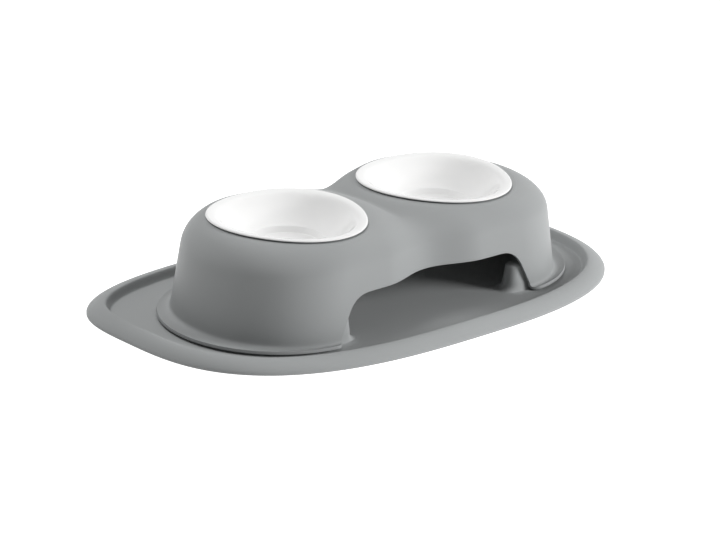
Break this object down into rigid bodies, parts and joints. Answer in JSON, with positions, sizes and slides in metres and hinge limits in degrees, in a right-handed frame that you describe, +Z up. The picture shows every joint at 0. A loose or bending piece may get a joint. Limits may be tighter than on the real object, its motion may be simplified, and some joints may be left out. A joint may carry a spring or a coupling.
{
  "type": "raised double pet bowl",
  "caption": "Raised pet feeder: gloss dishes hang by their lips in a hollow waisted stand with an arched middle, which drops over bosses on a soft rimmed mat.",
  "frame": {"origin": "on the table under the middle of the mat", "axes": "+X along the mat from the left bowl to the right bowl, +Y to the back, +Z up"},
  "size_m": [0.5898, 0.3388, 0.1049],
  "materials": {
    "mat_rubber": "fine matt texture",
    "stand_plastic": "fine matt texture",
    "bowl_plastic": "gloss"
  },
  "bodies": {
    "mat": {"mat": "mat_rubber"},
    "stand": {"stand": "stand_plastic"},
    "bowl_left": {"bowl_left": "bowl_plastic"},
    "bowl_right": {"bowl_right": "bowl_plastic"}
  },
  "joints": [
    {"name": "stand_lift", "type": "slide", "parent": "mat", "child": "stand", "axis": [0, 0, 1], "range_m": [0, 0.1]},
    {"name": "bowl_left_lift", "type": "slide", "parent": "stand", "child": "bowl_left", "axis": [0, 0, 1], "range_m": [0, 0.08]},
    {"name": "bowl_right_lift", "type": "slide", "parent": "stand", "child": "bowl_right", "axis": [0, 0, 1], "range_m": [0, 0.08]}
  ]
}
